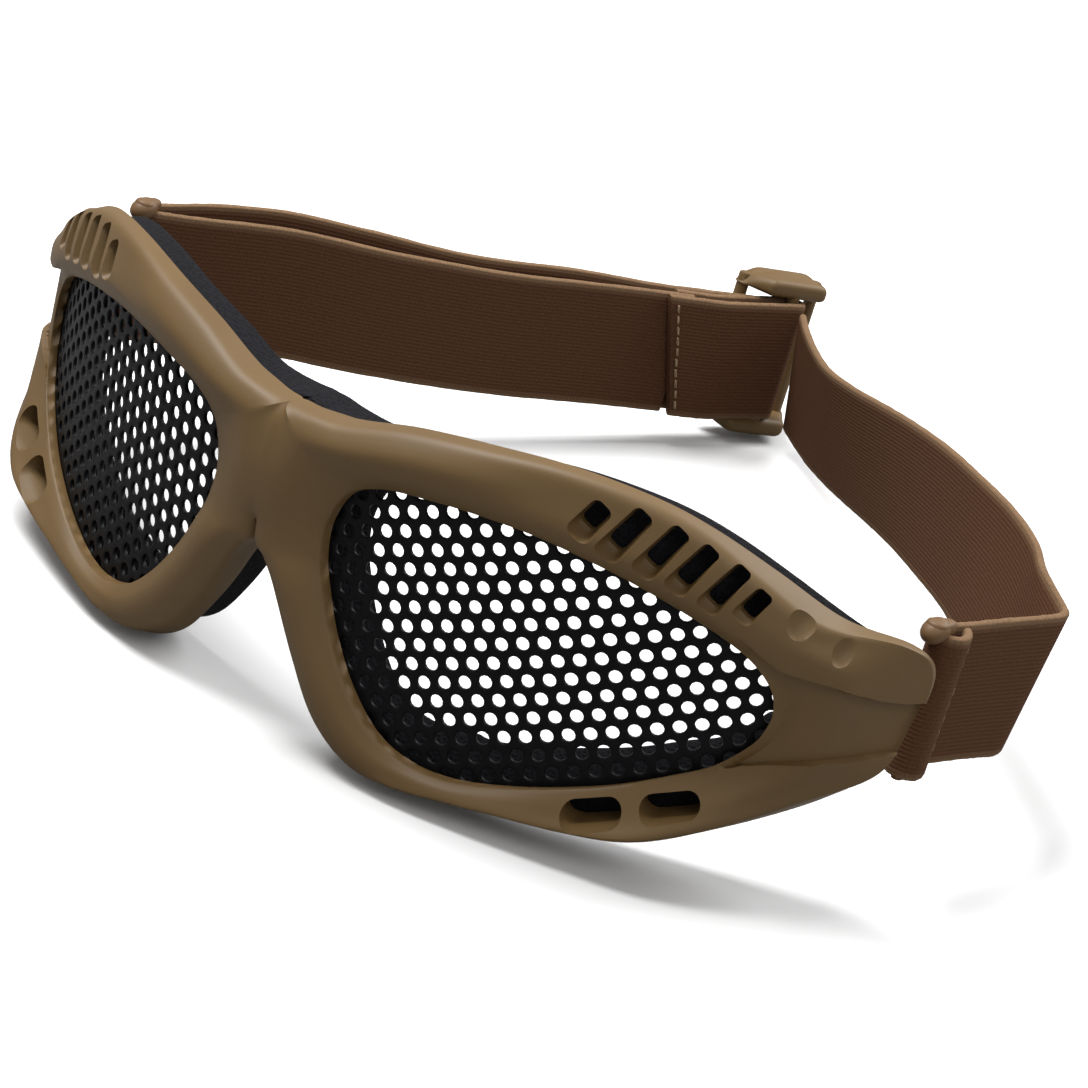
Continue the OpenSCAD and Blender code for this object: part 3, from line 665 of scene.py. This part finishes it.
def makeRightStrap():
    rows = list(rightStrap["outer"])
    rows += [[x, y, 0] for x, y in arc([0, 0], webbing["plyOffset"], 180, 360, 9)]
    rows += rightStrap["inner"]
    rows = openSpline(rows, 6)
    return ribbon("strap_right_run", fromRun(rows), rotateOnly(fromRun, flatAcross(rows), rows))


strapRight = makeRightStrap()

# Folded end round the buckle's middle bar
foldShape = {"middle": [1.45, 142.0], "offset": 2.05, "length": 26.5, "drop": -1.6, "shear": 0.33}


def makeFold():
    cx, cy = foldShape["middle"]
    k, length, drop = foldShape["offset"], foldShape["length"], foldShape["drop"]
    rows = [[cx + k, cy - length * u, drop * min(1, u * 1.6), -foldShape["shear"] * u ** 2, 1]
            for u in (1, 0.8, 0.6, 0.35, 0.15)]
    rows += [[x, y, 0, 0, 1] for x, y in arc([cx, cy], k, 0, 180, 9)]
    rows += [[cx - k, cy - length * u, drop * min(1, u * 1.6), 0, 1] for u in (0.15, 0.35, 0.6, 0.8, 1)]
    rows = openSpline(rows, 5)
    across = np.insert(rows[:, 3:5], 0, 0, axis=1)
    return ribbon("strap_fold", fromRun(rows[:, 0:3]), rotateOnly(fromRun, across, rows[:, 0:3]))


strapFold = makeFold()
print("stage: webbing", len(strapLeftBack.data.polygons))


# Rounded plate: the hull of circles, thick along Z, with rolled edges
def hullOutline(circles, shrink, perArc=9):
    points = []
    count = len(circles)
    centres = np.array([c[0:2] for c in circles], float)
    for i in range(count):
        before, after = (i - 1) % count, (i + 1) % count
        def normalAngle(p, q):
            d = centres[q] - centres[p]
            bend = (circles[p][2] - circles[q][2]) / np.linalg.norm(d)
            return math.atan2(d[1], d[0]) - math.pi / 2 + math.asin(max(-1, min(1, bend)))
        a0, a1 = normalAngle(before, i), normalAngle(i, after)
        while a1 < a0:
            a1 += 2 * math.pi
        for a in np.linspace(a0, a1, perArc):
            r = circles[i][2] - shrink
            points.append([centres[i][0] + r * math.cos(a), centres[i][1] + r * math.sin(a)])
    return points


def denser(outline, spaces):
    out = []
    for p, q, count in zip(outline, outline[1:] + outline[:1], spaces):
        out += [[p[0] + (q[0] - p[0]) * i / count, p[1] + (q[1] - p[1]) * i / count] for i in range(count)]
    return out


def roundedPlate(circles, middleZ, thickness, roll, longest=99):
    levels = [(-thickness / 2 + roll * (1 - math.sin(a)), roll * (1 - math.cos(a)))
              for a in np.radians([90, 65, 40, 18, 0])]
    levels += [(-z, inset) for z, inset in reversed(levels)]
    points = []
    for z, inset in levels:
        outline = hullOutline(circles, inset)
        if not points:
            spaces = [max(1, math.ceil(math.dist(p, q) / longest))
                      for p, q in zip(outline, outline[1:] + outline[:1])]
        outline = denser(outline, spaces)
        points += [[x, y, middleZ + z] for x, y in outline]
    count = len(points) // len(levels)
    return np.array(points), cappedFaces(len(levels), count)


def barMesh(x, y, radius, low, high, roll=0.5):
    levels = [(low + roll * (1 - math.sin(a)), roll * (1 - math.cos(a))) for a in np.radians([90, 45, 0])]
    levels += [(high - roll * (1 - math.sin(a)), roll * (1 - math.cos(a))) for a in np.radians([0, 45, 90])]
    points = []
    for z, inset in levels:
        points += [[x + (radius - inset) * math.cos(a), y + (radius - inset) * math.sin(a), z]
                   for a in np.radians(np.arange(0, 360, 12))]
    count = len(points) // len(levels)
    return np.array(points), cappedFaces(len(levels), count)


# Buckle: a tri-glide with a middle bar, two side bars and two thick end bars
buckle = {"middleX": 1.45, "sideX": -4.85, "length": 20.0, "barRadius": 1.3, "middleRadius": 1.2,
          "height": 33.0, "endThickness": 3.6, "endRound": 5.2}


def makeBuckle():
    half = buckle["length"] / 2 - buckle["barRadius"]
    reach = buckle["length"] * 0.28
    big, small = buckle["barRadius"] + 0.3, buckle["middleRadius"] + 0.3
    circles = [[buckle["sideX"], -half, big], [buckle["middleX"], -reach, small],
               [buckle["middleX"], reach, small], [buckle["sideX"], half, big]]
    pieces = []
    at = buckle["height"] / 2 - buckle["endThickness"] / 2
    for z in (-at, at):
        points, faces = roundedPlate(circles, z, buckle["endThickness"], 1.3, 1.0)
        r = buckle["endRound"]
        beyond = np.clip(np.abs(points[:, 1]) - buckle["length"] / 2 + r, 0, r)
        outward = np.clip((np.abs(points[:, 2]) - at) / (buckle["endThickness"] / 2) * 0.5 + 0.5, 0, 1)
        points[:, 2] -= np.sign(z) * np.minimum(r - np.sqrt(r * r - beyond ** 2), 3.0) * outward
        pieces.append((points, faces))
    low = -buckle["height"] / 2 + 1.2
    pieces.append(barMesh(buckle["middleX"], 0, buckle["middleRadius"], low, -low))
    for y in (-half, half):
        pieces.append(barMesh(buckle["sideX"], y, buckle["barRadius"], low, -low))
    made = []
    for i, (points, faces) in enumerate(pieces):
        made.append(makeObject(f"bucklePart{i}", fromRun(points + [0, runFrame["sliderAt"], 0]), faces, 40))
    body = made[0]
    for other in made[1:]:
        carve(body, other, "UNION")
    body.name = body.data.name = "slider_visual"
    smooth(body, 40)
    return body


slider = makeBuckle()

# Strap loops at the temples: a bar between two arms, with a rounded hook over the top arm
loopShape = {"barRadius": 1.6, "barLow": -12.7, "barHigh": 10.2, "post": [-0.3, -0.6, 0.95], "armAt": 13.0,
             "armThickness": 2.4, "hook": [-0.7, -3.5, 12.5], "hookRadii": [2.2, 2.8, 1.9]}


def makeLoop(name, side):
    x, y, radius = loopShape["post"]
    hookX, hookY = loopShape["hook"][0:2]
    pieces = [barMesh(0, 0, loopShape["barRadius"], loopShape["barLow"], loopShape["barHigh"]),
              barMesh(x, y, radius, loopShape["barHigh"] - 1, loopShape["armAt"] + 0.4),
              roundedPlate([[x, y, 1.25], [hookX, hookY, 1.9]], loopShape["armAt"], loopShape["armThickness"], 0.8),
              roundedPlate([[0, 0, 1.3], [0.3, -1.6, 0.9]], loopShape["barLow"], 0.6, 0.2)]
    made = []
    offset = np.array([strapFrame["barX"], 0, 0])
    for i, (points, faces) in enumerate(pieces):
        made.append(makeObject(f"{name}{i}", fromStrap((points + offset) * [side, 1, 1]), faces, 40))
    bpy.ops.mesh.primitive_uv_sphere_add(segments=32, ring_count=20, radius=1)
    knob = bpy.context.object
    spots = np.array([v.co for v in knob.data.vertices])
    spots = turnX(spots * loopShape["hookRadii"], 24) + loopShape["hook"] + offset
    spots = fromStrap(spots * [side, 1, 1]) * mm
    for v, p in zip(knob.data.vertices, spots):
        v.co = p
    if side < 0:
        knob.data.flip_normals()
    smooth(knob, 60)
    made.append(knob)
    return joinAll(name, made)


loopLeft = makeLoop("strap_loop_left_visual", 1)
loopRight = makeLoop("strap_loop_right_visual", -1)
print("stage: buckle and loops")

# Stitches: short rounded threads lying on the webbing
stitching = {"radius": 0.26, "length": 1.7, "left": [92.45, 3.42], "fold": [4.49, 116.9],
             "foldShear": 0.31}


def stitchRow(name, place, x, y, count, shear=0.0, drop=0.0):
    step = (webbing["width"] - 3) / count
    made = []
    for i in range(count):
        z = -webbing["width"] / 2 + 1.5 + step * (i + 0.5)
        r, half = stitching["radius"], stitching["length"] / 2
        points, faces = barMesh(x, y, r, z - half, z + half, r * 0.9)
        points = points + [0, float(noise.normal(0, 0.06)), drop]
        points[:, 1] -= shear * (points[:, 2] - drop)
        made.append(makeObject(f"{name}{i}", place(points), faces, 60))
    return joinAll(name, made)


stitchesLeft = stitchRow("stitches_left_visual", fromStrap, *stitching["left"], 9)
stitchesFold = stitchRow("stitches_fold_visual", fromRun, *stitching["fold"], 10,
                         stitching["foldShear"], foldShape["drop"])


# Materials
def nodeMaterial(name, roughness):
    m = bpy.data.materials.new(name)
    m.use_nodes = True
    shader = m.node_tree.nodes["Principled BSDF"]
    shader.inputs["Roughness"].default_value = roughness
    return m, m.node_tree, shader


def addNode(tree, kind, **values):
    node = tree.nodes.new(kind)
    for key, value in values.items():
        if key in node.inputs:
            node.inputs[key].default_value = value
        else:
            setattr(node, key, value)
    return node


def colourRamp(tree, source, stops):
    ramp = tree.nodes.new("ShaderNodeValToRGB")
    ramp.color_ramp.elements[0].position = stops[0][0]
    ramp.color_ramp.elements[0].color = (*stops[0][1], 1)
    ramp.color_ramp.elements[1].position = stops[-1][0]
    ramp.color_ramp.elements[1].color = (*stops[-1][1], 1)
    for position, colour in stops[1:-1]:
        ramp.color_ramp.elements.new(position).color = (*colour, 1)
    tree.links.new(source, ramp.inputs["Fac"])
    return ramp.outputs["Color"]


def plasticMaterial(name, dark, light):
    m, tree, shader = nodeMaterial(name, 0.52)
    place = tree.nodes.new("ShaderNodeTexCoord")
    broad = addNode(tree, "ShaderNodeTexNoise", Scale=38.0, Detail=4.0)
    fine = addNode(tree, "ShaderNodeTexNoise", Scale=2600.0, Detail=2.0)
    tree.links.new(place.outputs["Object"], broad.inputs["Vector"])
    tree.links.new(place.outputs["Object"], fine.inputs["Vector"])
    colour = colourRamp(tree, broad.outputs["Fac"], [(0.3, dark), (0.7, light)])
    tree.links.new(colour, shader.inputs["Base Color"])
    bump = addNode(tree, "ShaderNodeBump", Strength=0.12, Distance=0.0001)
    tree.links.new(fine.outputs["Fac"], bump.inputs["Height"])
    tree.links.new(bump.outputs["Normal"], shader.inputs["Normal"])
    shader.inputs["Specular IOR Level"].default_value = 0.4
    return m


def meshMaterial():
    m, tree, shader = nodeMaterial("blackSteel", 0.45)
    place = tree.nodes.new("ShaderNodeTexCoord")
    speck = addNode(tree, "ShaderNodeTexNoise", Scale=900.0, Detail=3.0)
    tree.links.new(place.outputs["Object"], speck.inputs["Vector"])
    colour = colourRamp(tree, speck.outputs["Fac"],
                        [(0.35, (0.0016, 0.0017, 0.0023)), (0.75, (0.004, 0.0042, 0.0056))])
    tree.links.new(colour, shader.inputs["Base Color"])
    bump = addNode(tree, "ShaderNodeBump", Strength=0.15, Distance=0.0001)
    tree.links.new(speck.outputs["Fac"], bump.inputs["Height"])
    tree.links.new(bump.outputs["Normal"], shader.inputs["Normal"])
    shader.inputs["Specular IOR Level"].default_value = 0.14
    return m


def foamMaterial():
    m, tree, shader = nodeMaterial("blackFoam", 0.95)
    place = tree.nodes.new("ShaderNodeTexCoord")
    cells = addNode(tree, "ShaderNodeTexVoronoi", Scale=1500.0)
    tree.links.new(place.outputs["Object"], cells.inputs["Vector"])
    colour = colourRamp(tree, cells.outputs["Distance"],
                        [(0.1, (0.006, 0.006, 0.007)), (0.6, (0.012, 0.0115, 0.014))])
    tree.links.new(colour, shader.inputs["Base Color"])
    bump = addNode(tree, "ShaderNodeBump", Strength=0.6, Distance=0.0003)
    tree.links.new(cells.outputs["Distance"], bump.inputs["Height"])
    tree.links.new(bump.outputs["Normal"], shader.inputs["Normal"])
    shader.inputs["Specular IOR Level"].default_value = 0.1
    return m


def webbingMaterial():
    m, tree, shader = nodeMaterial("brownWebbing", 0.9)
    uv = tree.nodes.new("ShaderNodeUVMap")
    uv.uv_map = "UVMap"
    split = tree.nodes.new("ShaderNodeSeparateXYZ")
    tree.links.new(uv.outputs["UV"], split.inputs["Vector"])
    ribs = addNode(tree, "ShaderNodeTexWave", Scale=11.0, Distortion=0.6)
    ribs.bands_direction = "Y"
    ribs.inputs["Detail"].default_value = 2.0
    weft = addNode(tree, "ShaderNodeTexWave", Scale=14.0, Distortion=1.2)
    weft.bands_direction = "X"
    fuzz = addNode(tree, "ShaderNodeTexNoise", Scale=60.0, Detail=6.0, Roughness=0.7)
    for node in (ribs, weft, fuzz):
        tree.links.new(uv.outputs["UV"], node.inputs["Vector"])
    edge = addNode(tree, "ShaderNodeMath", operation="SUBTRACT")
    tree.links.new(split.outputs["Y"], edge.inputs[0])
    edge.inputs[1].default_value = 0.5
    size = addNode(tree, "ShaderNodeMath", operation="ABSOLUTE")
    tree.links.new(edge.outputs[0], size.inputs[0])
    body = colourRamp(tree, fuzz.outputs["Fac"], [(0.3, (0.074, 0.033, 0.017)), (0.75, (0.125, 0.058, 0.031))])
    # The paler colour on both long edges is a painted sheen: light catching the fuzzy edges, mixed into the base
    # colour
    pale = colourRamp(tree, fuzz.outputs["Fac"], [(0.25, (0.13, 0.076, 0.042)), (0.7, (0.24, 0.15, 0.085))])
    edgeSheenMask = colourRamp(tree, size.outputs[0], [(0.43, (0.0, 0.0, 0.0)), (0.485, (1.0, 1.0, 1.0))])
    # The node holds a socket of each data type under one name, so the colour ones are picked by type
    mix = addNode(tree, "ShaderNodeMix", data_type="RGBA")
    colours = [socket for socket in mix.inputs if socket.type == "RGBA"]
    mixed = [socket for socket in mix.outputs if socket.type == "RGBA"]
    tree.links.new(edgeSheenMask, mix.inputs["Factor"])
    tree.links.new(body, colours[0])
    tree.links.new(pale, colours[1])
    tree.links.new(mixed[0], shader.inputs["Base Color"])
    weave = addNode(tree, "ShaderNodeMath", operation="MULTIPLY_ADD")
    tree.links.new(weft.outputs["Fac"], weave.inputs[0])
    weave.inputs[1].default_value = 0.35
    tree.links.new(ribs.outputs["Fac"], weave.inputs[2])
    thread = addNode(tree, "ShaderNodeMath", operation="MULTIPLY_ADD")
    tree.links.new(fuzz.outputs["Fac"], thread.inputs[0])
    thread.inputs[1].default_value = 0.5
    tree.links.new(weave.outputs[0], thread.inputs[2])
    bump = addNode(tree, "ShaderNodeBump", Strength=0.25, Distance=0.0003)
    tree.links.new(thread.outputs[0], bump.inputs["Height"])
    tree.links.new(bump.outputs["Normal"], shader.inputs["Normal"])
    shader.inputs["Specular IOR Level"].default_value = 0.08
    return m


def threadMaterial():
    m, tree, shader = nodeMaterial("tanThread", 0.85)
    place = tree.nodes.new("ShaderNodeTexCoord")
    twist = addNode(tree, "ShaderNodeTexWave", Scale=900.0, Distortion=1.0)
    tree.links.new(place.outputs["Object"], twist.inputs["Vector"])
    colour = colourRamp(tree, twist.outputs["Fac"], [(0.2, (0.20, 0.13, 0.07)), (0.8, (0.38, 0.27, 0.16))])
    tree.links.new(colour, shader.inputs["Base Color"])
    return m


tanPlastic = plasticMaterial("tanPlastic", (0.128, 0.074, 0.024), (0.154, 0.092, 0.033))
# A pinker copy of the tan plastic for the strap loops: a painted highlight tint standing for the pinkish light on
# the loop arms
loopHighlightPlastic = plasticMaterial("loopHighlightPlastic", (0.135, 0.07, 0.026), (0.16, 0.088, 0.036))
blackSteel = meshMaterial()
blackFoam = foamMaterial()
brownWebbing = webbingMaterial()
tanThread = threadMaterial()

pieces = [
    (frameBody, tanPlastic, "goggles", ["frame"], "tan_plastic"),
    (lensLeft, blackSteel, "goggles", ["lens_left"], "mesh"),
    (lensRight, blackSteel, "goggles", ["lens_right"], "mesh"),
    (foam, blackFoam, "goggles", ["foam_gasket"], "foam"),
    (loopLeft, loopHighlightPlastic, "goggles", ["strap_loop_left"], "tan_plastic"),
    (loopRight, loopHighlightPlastic, "goggles", ["strap_loop_right"], "tan_plastic"),
    (strapLeftBack, brownWebbing, None, ["strap_left_side", "strap_back"], "webbing"),
    (strapRight, brownWebbing, "right_strap", ["strap_right_outer", "strap_right_inner"], "webbing"),
    (strapFold, brownWebbing, "buckle", ["strap_fold_end"], "webbing"),
    (slider, tanPlastic, "buckle", ["slider"], "tan_plastic"),
    (stitchesLeft, tanThread, "left_strap", ["stitches_left"], "thread"),
    (stitchesFold, tanThread, "buckle", ["stitches_fold"], "thread"),
]
for o, material, body, nodes, slotName in pieces:
    o.data.materials.clear()
    o.data.materials.append(material)
    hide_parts(*nodes)
    if body:
        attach(o, body)
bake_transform(strapLeftBack)
print("stage: materials and bodies")

# Camera placed where the photograph was taken from
camera = {"lens": 124.31, "eye": [349.5, -422.1, 262.6],
          "axes": [[0.73931, 0.63283, 0.23011], [-0.41149, 0.15410, 0.89829], [0.53301, -0.75880, 0.37433]]}
view = bpy.data.objects.new("camera", bpy.data.cameras.new("camera"))
view.data.lens = camera["lens"]
view.data.sensor_width = 36
view.data.clip_start = 0.01
axes = turnX(np.array(camera["axes"]), -standing["lean"])
spot = fromMould(np.array(camera["eye"])) * mm
rows = [[axes[0][i], axes[1][i], axes[2][i], spot[i]] for i in range(3)] + [[0, 0, 0, 1]]
view.matrix_world = Matrix(rows)
bpy.context.scene.collection.objects.link(view)
bpy.context.scene.camera = view

# What the camera sees and what lights the goggles differ, on the floor and in the surround
def splitByCamera(tree, lighting, seen, output):
    path = tree.nodes.new("ShaderNodeLightPath")
    choose = tree.nodes.new("ShaderNodeMixShader")
    tree.links.new(path.outputs["Is Camera Ray"], choose.inputs[0])
    tree.links.new(lighting.outputs[0], choose.inputs[1])
    tree.links.new(seen.outputs[0], choose.inputs[2])
    tree.links.new(choose.outputs[0], tree.nodes[output].inputs["Surface"])


# Floor, soft lamps and a white surround
studio = {
    "floor": 6.0, "floorDrop": -0.0006, "worldFill": 0.42, "floorBounce": 0.25, "target": (0, 0, 0.03),
    "lamps": [["keyLamp", (-0.45, -0.2, 1.15), 0.6, 19], ["frontLamp", (0.9, -0.5, 0.9), 0.5, 2.5],
              ["backLamp", (0.3, 0.95, 0.9), 0.8, 12]],
}
floorMesh = bpy.data.meshes.new("floor")
k = studio["floor"]
floorMesh.from_pydata([[-k, -k, 0], [k, -k, 0], [k, k, 0], [-k, k, 0]], [], [[0, 1, 2, 3]])
floor = bpy.data.objects.new("floor", floorMesh)
bpy.context.scene.collection.objects.link(floor)
floor.location.z = studio["floorDrop"]
floorMaterial, tree, shader = nodeMaterial("paleFloor", 0.9)
place = tree.nodes.new("ShaderNodeTexCoord")
mottle = addNode(tree, "ShaderNodeTexNoise", Scale=5.0, Detail=2.0)
tree.links.new(place.outputs["Object"], mottle.inputs["Vector"])
colour = colourRamp(tree, mottle.outputs["Fac"], [(0.2, (0.90, 0.90, 0.90)), (0.8, (0.93, 0.93, 0.93))])
tree.links.new(colour, shader.inputs["Base Color"])
shader.inputs["Specular IOR Level"].default_value = 0.0
dim = addNode(tree, "ShaderNodeBsdfDiffuse", Color=(*[studio["floorBounce"]] * 3, 1))
splitByCamera(tree, dim, shader, "Material Output")
floorMesh.materials.append(floorMaterial)


def areaLamp(name, spot, size, power):
    lamp = bpy.data.lights.new(name, "AREA")
    lamp.size = size
    lamp.energy = power
    o = bpy.data.objects.new(name, lamp)
    back = np.array(spot, float) - np.array(studio["target"], float)
    back /= np.linalg.norm(back)
    side = np.cross([0, 0, 1.0], back)
    side /= np.linalg.norm(side)
    up = np.cross(back, side)
    o.matrix_world = Matrix([[side[i], up[i], back[i], spot[i]] for i in range(3)] + [[0, 0, 0, 1]])
    bpy.context.scene.collection.objects.link(o)


for lampRow in studio["lamps"]:
    areaLamp(*lampRow)

world = bpy.data.worlds.new("surround")
bpy.context.scene.world = world
world.use_nodes = True
tree = world.node_tree
background = tree.nodes["Background"]
background.inputs["Color"].default_value = (1, 1, 1, 1)
background.inputs["Strength"].default_value = studio["worldFill"]
white = addNode(tree, "ShaderNodeBackground", Color=(1, 1, 1, 1), Strength=1.0)
splitByCamera(tree, background, white, "World Output")
bpy.context.scene.view_settings.view_transform = "Standard"
print("stage: camera and light")
